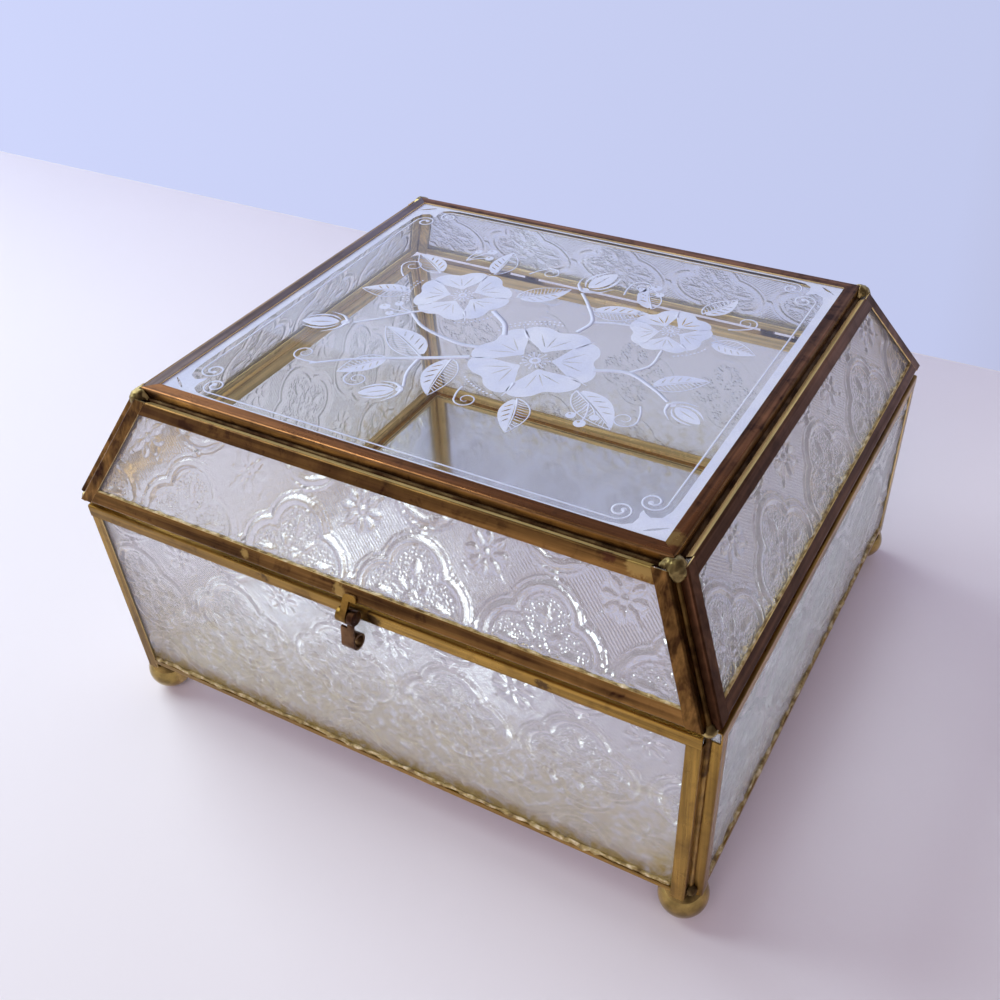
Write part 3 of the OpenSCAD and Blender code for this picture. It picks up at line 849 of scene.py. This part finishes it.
def draw_spray(e):
    """Three wild roses with their buds, leaves, berries and tendrils."""
    for at, radius, turn in (((10.0, -9.0), 15.5, 20), ((-24.0, 12.0), 12.5, 52), ((34.0, 18.0), 10.0, -8)):
        e.rose(at, radius, turn)
    for at, angle, size in (((-43.0, -13.0), 200, 13), ((4.0, 27.0), 72, 14), ((47.0, -12.0), -28, 11),
                            ((-12.0, -33.5), 215, 11)):
        e.bud(at, angle, size)
    # stems
    for points, start, end in (
            ([(-40.0, -34.0), (-30.0, -27.0), (-16.0, -20.0), (-5.5, -14.5)], 0.5, 1.1),
            ([(-12.0, 8.0), (-6.0, 3.5), (-3.0, -1.5)], 1.0, 1.0),
            ([(-31.5, -1.5), (-24.0, -7.0), (-12.0, -10.0), (-6.0, -9.5)], 0.6, 1.0),
            ([(-42.0, -12.6), (-37.0, -8.0), (-31.0, -1.5), (-28.0, 1.0)], 0.7, 0.6),
            ([(13.0, 7.5), (14.0, 14.0), (9.0, 21.5), (4.6, 26.6)], 0.9, 0.6),
            ([(14.0, 13.5), (19.0, 15.5), (24.5, 16.5)], 0.7, 0.6),
            ([(25.0, -7.0), (33.0, -4.5), (41.0, -8.0), (46.6, -11.8)], 1.0, 0.6),
            ([(33.0, -4.5), (36.5, 1.0), (36.0, 8.5)], 0.7, 0.5),
            ([(-16.5, -20.2), (-15.5, -27.0), (-12.6, -33.0)], 0.7, 0.5)):
        e.line(through(points, 7), start, end)
    # leaves: place, angle, length, width, bend and flip
    for leaf in (
            ((-16.5, -19.5), 152, 19, 7.6, 0.12, 1), ((-24.0, -23.5), 236, 13, 5.8, -0.1, -1),
            ((-9.0, -17.0), 282, 17, 7.0, 0.14, 1), ((25.5, -16.5), -38, 18, 7.4, 0.1, -1),
            ((14.5, -25.5), -72, 14, 6.2, -0.12, 1), ((40.5, -7.5), 34, 14, 5.8, 0.12, -1),
            ((-36.5, 20.5), 148, 14, 6.0, 0.14, 1), ((-22.5, 26.0), 98, 14, 6.2, -0.12, -1),
            ((-38.0, 8.0), 196, 14, 6.0, -0.1, 1), ((-10.0, 17.0), 42, 15, 6.4, 0.12, 1),
            ((11.5, 19.0), 18, 15, 6.4, -0.14, -1), ((38.0, 29.5), 62, 12, 5.4, 0.1, 1),
            ((45.5, 17.0), -6, 12, 5.4, -0.12, 1), ((25.0, 26.5), 118, 12, 5.4, 0.12, -1)):
        e.leaf(*leaf)
    # berries on their stalks
    for root, angle in (((-31.0, -1.5), 182), ((30.5, -20.0), -80), ((20.0, 29.0), 78), ((-34.0, 30.0), 60)):
        for turn, reach, radius in ((-24, 6.5, 1.25), (2, 8.6, 1.5), (27, 6.2, 1.15)):
            tip = spot((reach, 0), root, angle + turn)
            e.line(through([root, spot((reach * 0.55, 0.6), root, angle + turn), tip], 4), 0.35, 0.25)
            e.berry(tip, radius)
    # tendrils: start, angle, size and flip
    for curl in (
            ((-28.0, -28.5), 268, 10, 1), ((-39.0, -34.0), 172, 9, -1), ((43.0, -16.0), -82, 10, -1),
            ((-46.0, 14.0), 118, 10, -1), ((-14.5, 31.0), 46, 9, -1), ((47.5, 24.0), 38, 9, 1),
            ((-1.0, -27.0), 292, 9, 1), ((14.0, 30.5), 84, 10, -1)):
        e.curl(*curl)
    # stippled arcs round the roses
    for centre, radius, first, last, count in (
            ((10.0, -9.0), 18.0, -130, -96, 10), ((10.0, -9.0), 18.0, 96, 150, 16),
            ((10.0, -9.0), 19.3, 100, 146, 13), ((-24.0, 12.0), 14.8, 170, 216, 12),
            ((-24.0, 12.0), 14.8, -66, -24, 11), ((34.0, 18.0), 12.2, -62, -22, 9),
            ((34.0, 18.0), 12.2, 150, 186, 8), ((-24.0, 12.0), 16.0, 174, 212, 9)):
        for point in ring(centre, radius, np.radians(np.linspace(first, last, count))):
            e.frost(disc(point, 0.3, 8))


def etched_material():
    """Frosted glass: pale, matt and slightly uneven."""
    material, tree = new_material("etched_frost")
    place = object_place(tree)
    grain = noise(tree, place, 5200, 2, 0.5)
    cloud = noise(tree, place, 90, 4, 0.6, 0.3)
    tone = ramp(tree, cloud, (0.3, (0.60, 0.65, 0.86)), (0.7, (0.74, 0.78, 0.93)))
    speck = ramp(tree, grain, (0.35, 0.86), (0.65, 1.0))
    return finish_material(material, {
        "Base Color": mixed(tree, 1.0, tone, speck, "MULTIPLY"), "Roughness": 0.65,
        "Normal": bumped(tree, grain, 0.02 * MM)})


def new_curve(name, dimensions):
    data = bpy.data.curves.new(name, "CURVE")
    data.dimensions = dimensions
    obj = bpy.data.objects.new(name, data)
    bpy.context.scene.collection.objects.link(obj)
    return obj


def add_run(curve, points, half=None):
    """Adds a closed outline to a curve, or an open line where half gives its half widths."""
    run = curve.data.splines.new("POLY")
    run.points.add(len(points) - 1)
    for index, (x, y) in enumerate(points):
        run.points[index].co = (x, y, 0, 1)
        if half is not None:
            run.points[index].radius = half[index]
    run.use_cyclic_u = half is None


def etch(name, drawing, material):
    """Makes a drawing's shapes and lines thin solids on top of the clear pane."""
    e = Etching()
    drawing(e)
    made = []
    for outlines in e.shapes:
        shape = new_curve(name, "2D")
        shape.data.fill_mode = "BOTH"
        shape.data.extrude = ETCH_HALF
        for outline in outlines:
            add_run(shape, outline)
        shape.location.z = ETCH_LIFT + ETCH_HALF
        made.append(shape)
    nib = new_curve("nib", "2D")
    add_run(nib, [(-1, 0), (1, 0), (1, 0.1), (-1, 0.1)])
    lines = new_curve(name, "3D")
    lines.data.twist_mode = "Z_UP"
    lines.data.bevel_mode = "OBJECT"
    lines.data.bevel_object = nib
    lines.data.use_fill_caps = True
    for points, half in e.lines:
        add_run(lines, points, half)
    lines.location.z = ETCH_LIFT
    made.append(lines)
    deselect_all()
    for obj in made:
        obj.select_set(True)
    bpy.context.view_layer.objects.active = made[0]
    bpy.ops.object.convert(target="MESH")
    bpy.ops.object.transform_apply(location=True, rotation=True, scale=True)
    bpy.ops.object.join()
    piece = bpy.context.object
    piece.name = piece.data.name = name
    bpy.data.objects.remove(nib)
    piece.scale = (MM, MM, MM)
    piece.location.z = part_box("lid_top_glass")[1][2]
    settle(piece)
    bpy.ops.object.mode_set(mode="EDIT")
    bpy.ops.mesh.select_all(action="SELECT")
    bpy.ops.mesh.normals_make_consistent(inside=False)
    bpy.ops.object.mode_set(mode="OBJECT")
    return finish_piece(piece, material, "lid")


class CASKET_OT_etching(bpy.types.Operator):
    """Etches the border and the spray of roses on the lid's clear pane"""
    bl_idname = "casket.etching"
    bl_label = "Etching"

    def execute(self, context):
        material = etched_material()
        etch("etched_border", draw_border, material)
        etch("etched_spray", draw_spray, material)
        return {"FINISHED"}


# ---------------------------------------------------------------- solder and grime
# the most cuts that subdivide makes in one edge
MOST_CUTS = 100


def cloud_texture(name, size):
    texture = bpy.data.textures.new(name, "CLOUDS")
    texture.noise_scale = size
    texture.noise_depth = 2
    return texture


def make_lumpy(obj, texture, strength, mid_level):
    """Gives an object's skin live lumps; it sinks where the texture is under mid_level."""
    lumps = obj.modifiers.new("lumps", "DISPLACE")
    lumps.texture = texture
    lumps.strength = strength
    lumps.mid_level = mid_level


def lumpy_solder(node, body, material):
    """Solder run by hand: the node's beads with an uneven skin."""
    bead = bpy.data.objects.new(f"{node}_beads", NODES[node].data.copy())
    bpy.context.scene.collection.objects.link(bead)
    take(bead)
    bpy.ops.object.mode_set(mode="EDIT")
    bpy.ops.mesh.select_all(action="SELECT")
    bpy.ops.mesh.remove_doubles(threshold=1e-6)
    bpy.ops.object.mode_set(mode="OBJECT")
    skin = bead.modifiers.new("skin", "REMESH")
    skin.mode = "VOXEL"
    skin.voxel_size = 0.16 * MM
    make_lumpy(bead, cloud_texture(f"{node}_lumps", 1.9 * MM), 0.8 * MM, 0.6)
    bead.modifiers.new("soften", "SMOOTH").iterations = 5
    apply_modifiers(bead)
    bpy.ops.object.shade_smooth()
    return finish_piece(bead, material, body, node)


def rod(name, sides, radius, reach, step, turn=(0, 0, 0)):
    """A rod about the origin, along Z unless it is turned, with each of its sides cut into a grid."""
    deselect_all()
    bpy.ops.mesh.primitive_cylinder_add(vertices=sides, radius=radius, depth=reach, rotation=turn)
    bar = settle(bpy.context.object)
    bar.name = bar.data.name = name
    bpy.ops.object.mode_set(mode="EDIT")
    bpy.ops.mesh.select_all(action="SELECT")
    bpy.ops.mesh.subdivide(number_cuts=min(MOST_CUTS, round(reach / step)))
    bpy.ops.object.mode_set(mode="OBJECT")
    return bar


def solder_seam(name, start, end, radius, body, material, texture):
    """Solder run along the groove between two frames, from start to end in millimetres."""
    start, end = Vector(start) * MM, Vector(end) * MM
    seam = rod(name, 10, radius * MM, (end - start).length, 0.5 * MM)
    make_lumpy(seam, texture, 0.3 * MM, 0.6)
    apply_modifiers(seam)
    bpy.ops.object.shade_smooth()
    turn = (end - start).to_track_quat("Z", "Y").to_matrix().to_4x4()
    seam.matrix_world = Matrix.Translation((start + end) / 2) @ turn
    settle(seam)
    return finish_piece(seam, material, body)


def grime_material():
    """Dried polish and putty caught along the strips: dull, cream to olive."""
    material, tree = new_material("grime")
    blotch = noise(tree, object_place(tree), 420, 4, 0.6, 0.2)
    tone = ramp(tree, blotch, (0.36, (0.16, 0.10, 0.03)), (0.5, (0.44, 0.34, 0.13)),
                (0.66, (0.78, 0.70, 0.48)))
    return finish_material(material, {"Base Color": tone,
                                      "Roughness": ramp(tree, blotch, (0.3, 0.5), (0.7, 0.85))})


def grime_line(part, side, rise, radius, material, texture):
    """A ragged bead where a strip's lip meets its pane, on the pane's outer face."""
    f = pane_frame(f"{part}_glass_{side}")
    height = f["low"] + rise
    # it stops short of the side strips
    half = half_width(f, (height - f["low"]) / (f["high"] - f["low"])) - 3.4 * MM
    bead = rod(f"{part}_grime_{side}", 8, radius, 2 * half, 0.35 * MM, (0, math.radians(90), 0))
    _, up, out = f["axes"]
    place_on(bead, f["axes"], f["middle"] + up * height + out * (f["outer"] - 0.05 * MM))
    make_lumpy(bead, texture, 3.2 * radius, 0.52)
    apply_modifiers(bead)
    bpy.ops.object.shade_smooth()
    return finish_piece(bead, material, part)


class CASKET_OT_grime(bpy.types.Operator):
    """Lays the ragged lines of old polish along the lower strips of every wall pane"""
    bl_idname = "casket.grime"
    bl_label = "Grime"

    def execute(self, context):
        material = grime_material()
        texture = cloud_texture("crumbs", 0.9 * MM)
        for side in SIDES:
            for part, rise, radius in (("lid", 2.95 * MM, 0.34 * MM), ("base", 1.6 * MM, 0.46 * MM)):
                grime_line(part, side, rise, radius, material, texture)
        return {"FINISHED"}


# single stains on the strips, and a painted shadow beside the latch: place and radius in millimetres, and
# colour
RED, YELLOW, DARK_STAIN_AND_SHADOW = (0.10, 0.035, 0.02), (0.56, 0.38, 0.12), (0.05, 0.025, 0.015)
STAINS_AND_SHADOWS = {
    "lid_came_width": (((-70.5, -62.5, 96.8), 2.6, YELLOW), ((64.5, -64.0, 96.0), 3.4, YELLOW),
                       ((57.3, -64.4, 95.4), 1.3, RED), ((-3.4, -76.9, 71.2), 1.5, YELLOW),
                       ((-31.0, -76.6, 71.6), 0.9, YELLOW), ((31.5, 76.6, 71.6), 2.0, DARK_STAIN_AND_SHADOW)),
    "top_frame_depth": (((67.6, -56.6, 97.5), 2.2, YELLOW), ((-68.5, 50.0, 97.5), 1.6, DARK_STAIN_AND_SHADOW)),
    "lid_came_depth": (((72.5, -57.0, 96.6), 2.0, YELLOW), ((-84.6, -40.0, 71.5), 1.8, DARK_STAIN_AND_SHADOW)),
    # painted shadow: the first dark blot lies right of the latch, where its shade falls on the base's rim
    "base_came_width": (((4.6, -76.2, 65.4), 1.6, DARK_STAIN_AND_SHADOW), ((-27.0, -76.2, 65.6), 0.9, DARK_STAIN_AND_SHADOW),
                        ((48.0, -76.2, 65.4), 1.0, DARK_STAIN_AND_SHADOW)),
}


def strip_nodes(run):
    """The strips that run along the box's width, depth or height, in four families."""
    if run == "height":
        return {part: [f"{part}_{side}_{end}" for side in SIDES for end in ("right", "left")]
                for part in ("lid_came", "base_came")}
    sides = {"width": ("front", "back"), "depth": ("right", "left")}[run]
    return {
        "top_frame": [f"lid_top_came_{side}" for side in sides],
        "lid_came": [f"lid_came_{side}_{end}" for side in sides for end in ("bottom", "top")],
        "base_came": [f"base_came_{side}_top" for side in sides],
        "floor_came": [f"{part}_{side}" for part in ("base_sill", "floor_came") for side in sides],
    }


def beside(level, out, rise, corner):
    """The point out and up from a corner of the lines round a level, in millimetres."""
    across, deep, high = level
    return ((across + out) * corner[0], (deep + out) * corner[1] + MIDDLE, high + rise)


class CASKET_OT_brass(bpy.types.Operator):
    """Gives every strip, fitting, foot and solder joint its aged metal"""
    bl_idname = "casket.brass"
    bl_label = "Brass"

    def execute(self, context):
        b = context.scene.casket_brass

        def brass(name, metal, inside, *rest, **more):
            return brass_material(name, metal, inside, b.patina, *rest, **more)

        # each family's metal, tarnish, polish, seed and how much painted shade browns its tops
        families = {"top_frame": (b.top_brown, 0.75, 0.2, 0.3, 1),
                    "lid_came": (b.lid_brown, 0.7, 0.22, 1.7, 0),
                    "base_came": (b.rim_gold, 0.5, 0.2, 3.1, 0),
                    "floor_came": (b.rim_gold, 0.35, 0.2, 4.9, 0)}
        for index, (run, along) in enumerate(RUNS.items()):
            for family, nodes in strip_nodes(run).items():
                metal, tarnish, polish, seed, top_shade = families[family]
                name = f"{family}_{run}"
                dress(brass(name, metal, b.inside_gold, tarnish, polish, seed + 0.37 * index, 0.1, top_shade,
                            along, STAINS_AND_SHADOWS.get(name, ())), *nodes)
        right = "lid_came_right_"
        for name, metal, along, nodes in (
                # painted shade: the lid's right strips get darker brass
                ("lid_right", b.worn, RUNS["depth"], (right + "bottom", right + "top")),
                ("lid_right_slant", b.worn, ALL_ROUND, (right + "right", right + "left")),
                # painted shade: the top frame's left strip gets darker, greyer brass
                ("top_left", b.dulled, RUNS["depth"], ("lid_top_came_left",))):
            dress(brass(name, metal, b.inside_gold, 0.6, 0.24, 1.3, 0.1, along=along), *nodes)
        dress(brass("fitting_brass", b.fitting_brown, b.fitting_brown, 0.9, 0.24, 6.3),
              "hinge_lid_leaves", "hinge_base_leaves", "hinge_pins", "latch_pin", "latch_tongue")
        dress(brass("latch_plate_brass", b.rim_gold, b.lid_brown, 0.45, 0.22, 8.4), "latch_bracket")
        dress(brass("ball_brass", b.ball_gold, b.ball_gold, 0.35, 0.03, 7.7, 0.02), "ball_feet")

        solder = brass("solder_joint", b.solder, b.solder, 0.85, 0.26, 9.1, 0.15)
        lumpy_solder("lid_solder", "lid", solder)
        lumpy_solder("base_solder", "base", solder)
        # solder in the groove round the top pane, darkened as painted shade of the groove
        seam = brass("solder_seam", b.seam, b.seam, 0.9, 0.4, 5.2, 0.2)
        corner = brass("corner_seam", b.corner, b.corner, 0.7, 0.24, 2.6, 0.15)
        texture = cloud_texture("seam_runs", 2.8 * MM)
        # each starts and ends just outside a corner of the lines where the frames meet
        corners = ((1, -1), (1, 1), (-1, 1), (-1, -1))
        for index, here in enumerate(corners):
            after = corners[(index + 1) % len(corners)]
            for name, start, end, radius, body, metal in (
                    ("lid_corner_seam", (RIM, 0.2, 0.6, here), (TOP, 0.2, 0, here), 0.75, "lid", corner),
                    ("base_corner_seam", (FOOT, 0.2, 1, here), (LOW, 0.2, -0.6, here), 0.75, "base", corner),
                    ("top_seam", (TOP, 0.3, 0.2, here), (TOP, 0.3, 0.2, after), 0.7, "lid", seam)):
                solder_seam(f"{name}_{index}", beside(*start), beside(*end), radius, body, metal, texture)
        return {"FINISHED"}


# ---------------------------------------------------------------- stage
# the camera's place, its axes and its shift
CAMERA = {
    "place": (0.13283, -0.21601, 0.24257),
    "right": (0.87739, 0.47853, -0.03452),
    "up": (-0.27159, 0.55470, 0.78647),
    "shift": (-0.05007, -0.00162),
}
# what the lamps point at, a little over the table
LAMP_AIM = (0, 0, 0.03)
# each lamp's place, size, power in watts and colour
LAMPS = {
    "window": ((-1.3, 0.1, 1.1), 1.3, 28.0, (0.86, 0.99, 1.0)),
    "fill": ((0.5, -1.3, 1.0), 1.5, 15.0, (1.0, 0.86, 0.97)),
}


def backdrop_material(bands):
    """A wall that shows its colour by its own light to the camera and in glass and metal, and only
    from its front; bands are its colours from left to right, brighter at the left as painted light and
    darker at the right as painted shadow."""
    material, tree = new_material("backdrop_paint")
    tone = ramp(tree, plus(tree, split(tree, object_place(tree))["X"], 0.5, clamp=True), *bands)
    rays = add(tree, "ShaderNodeLightPath").outputs
    seen = plus(tree, *(rays[f"Is {kind} Ray"] for kind in ("Camera", "Glossy", "Transmission")), clamp=True)
    glow = add(tree, "ShaderNodeEmission", {"Color": tone})
    lit = shaders_mixed(tree, seen, tree.nodes["Principled BSDF"], glow)
    behind = add(tree, "ShaderNodeNewGeometry").outputs["Backfacing"]
    show(tree, shaders_mixed(tree, behind, lit, add(tree, "ShaderNodeBsdfTransparent")))
    return finish_material(material, {"Base Color": tone, "Roughness": 0.9})


def table_material(tint):
    """A matt table top with a faint mottle."""
    material, tree = new_material("table_top")
    cloud = noise(tree, object_place(tree), 3.0, 3, 0.5, 0.2)
    tone = ramp(tree, cloud, (0.3, tuple(c * 0.97 for c in tint)), (0.7, tuple(tint)))
    return finish_material(material, {"Base Color": tone, "Roughness": 0.6})


def add_plane(name, material, scale=(1, 1, 1), **placed):
    """A plane of the stage."""
    deselect_all()
    bpy.ops.mesh.primitive_plane_add(**placed)
    bpy.context.object.scale = scale
    plane = settle(bpy.context.object)
    plane.name = name
    give(plane, material)


def add_lamp(name, place, size, power, tint):
    """A square lamp aimed at the box."""
    data = bpy.data.lights.new(name, "AREA")
    data.shape = "RECTANGLE"
    data.size = data.size_y = size
    data.energy = power
    data.color = tint
    lamp = bpy.data.objects.new(name, data)
    bpy.context.scene.collection.objects.link(lamp)
    lamp.location = place
    lamp.rotation_euler = (Vector(LAMP_AIM) - Vector(place)).to_track_quat("-Z", "Y").to_euler()
    return lamp


def light_the_room():
    """A soft room round the box: paler low down, and brighter on the left, where the window is."""
    world = bpy.data.worlds.new("studio")
    bpy.context.scene.world = world
    world.use_nodes = True
    tree = world.node_tree
    toward = split(tree, add(tree, "ShaderNodeTexCoord").outputs["Generated"])
    sky = ramp(tree, toward["Z"], (0.0, (0.70, 0.62, 0.69)), (0.3, (0.55, 0.49, 0.55)),
               (0.55, (0.21, 0.17, 0.18)))
    side = smooth_step(tree, toward["X"], 0.75, -0.2)
    dim = mixed(tree, side, (0.42, 0.40, 0.42), (1.25, 1.25, 1.25))
    fill(tree, tree.nodes["Background"], {"Color": mixed(tree, 1.0, sky, dim, "MULTIPLY"), "Strength": 0.8})
    lay_out(tree)


def add_camera(focal_length):
    data = bpy.data.cameras.new("camera")
    data.sensor_width = 36.0
    data.lens = focal_length
    data.shift_x, data.shift_y = CAMERA["shift"]
    data.clip_start, data.clip_end = 0.01, 20.0
    camera = bpy.data.objects.new("camera", data)
    bpy.context.scene.collection.objects.link(camera)
    right, up = Vector(CAMERA["right"]), Vector(CAMERA["up"])
    rows = [[*row] for row in zip(right, up, right.cross(up), CAMERA["place"])]
    camera.matrix_world = Matrix([*rows, [0, 0, 0, 1]])
    bpy.context.scene.camera = camera


class CASKET_OT_stage(bpy.types.Operator):
    """Adds the table, the backdrop, the lamps and the camera"""
    bl_idname = "casket.stage"
    bl_label = "Stage"

    def execute(self, context):
        s = context.scene.casket_stage
        pale, shade = Vector(s.wall), Vector(s.wall_shade)
        # the backdrop's bands: painted light brighter at the left, painted shadow darker at the right
        wall = backdrop_material(((0.05, tuple(pale * 1.15)), (0.57, tuple(pale)), (0.72, tuple(shade)),
                                  (0.88, tuple(shade * 0.3))))
        add_plane("table", table_material(s.floor), size=6.0, location=(0, 0, -0.2 * MM))
        add_plane("backdrop", wall, (6.0, 0.27, 1.0), size=1.0, location=(0, 0.2, 0.135),
                  rotation=(math.radians(90), 0, 0))
        add_lamp("window", *LAMPS["window"])
        # the other one isn't mirrored in the brass or seen through the glass
        unseen = add_lamp("fill", *LAMPS["fill"])
        unseen.visible_glossy = unseen.visible_transmission = False
        light_the_room()
        add_camera(s.lens)
        context.scene.view_settings.view_transform = "Standard"
        context.scene.cycles.max_bounces = 10
        context.scene.cycles.diffuse_bounces = 2
        context.scene.cycles.transmission_bounces = 10
        return {"FINISHED"}


# ---------------------------------------------------------------- the add-on
class CASKET_PT_panel(bpy.types.Panel):
    """Lists the casket's pieces in the order they are made"""
    bl_label = "Glass Casket Box"
    bl_idname = "CASKET_PT_panel"
    bl_space_type = "VIEW_3D"
    bl_region_type = "UI"
    bl_category = "Casket"

    def draw(self, context):
        for operator in OPERATORS:
            self.layout.operator(operator.bl_idname)
        for group in (context.scene.casket_glass, context.scene.casket_brass, context.scene.casket_stage):
            box = self.layout.box()
            for name in group.bl_rna.properties.keys():
                if name not in ("rna_type", "name"):
                    box.prop(group, name)


OPERATORS = (CASKET_OT_brass, CASKET_OT_clear_pane_and_mirror, CASKET_OT_pressed_panes, CASKET_OT_grime,
             CASKET_OT_etching, CASKET_OT_stage)
CLASSES = (CasketPressedGlass, CasketBrass, CasketStage, *OPERATORS, CASKET_PT_panel)


def register():
    for cls in CLASSES:
        bpy.utils.register_class(cls)
    bpy.types.Scene.casket_glass = bpy.props.PointerProperty(type=CasketPressedGlass)
    bpy.types.Scene.casket_brass = bpy.props.PointerProperty(type=CasketBrass)
    bpy.types.Scene.casket_stage = bpy.props.PointerProperty(type=CasketStage)


def unregister():
    for name in ("casket_glass", "casket_brass", "casket_stage"):
        delattr(bpy.types.Scene, name)
    for cls in reversed(CLASSES):
        bpy.utils.unregister_class(cls)


def main():
    register()
    for operator in OPERATORS:
        category, name = operator.bl_idname.split(".")
        getattr(getattr(bpy.ops, category), name)()


if __name__ == "__main__":
    main()
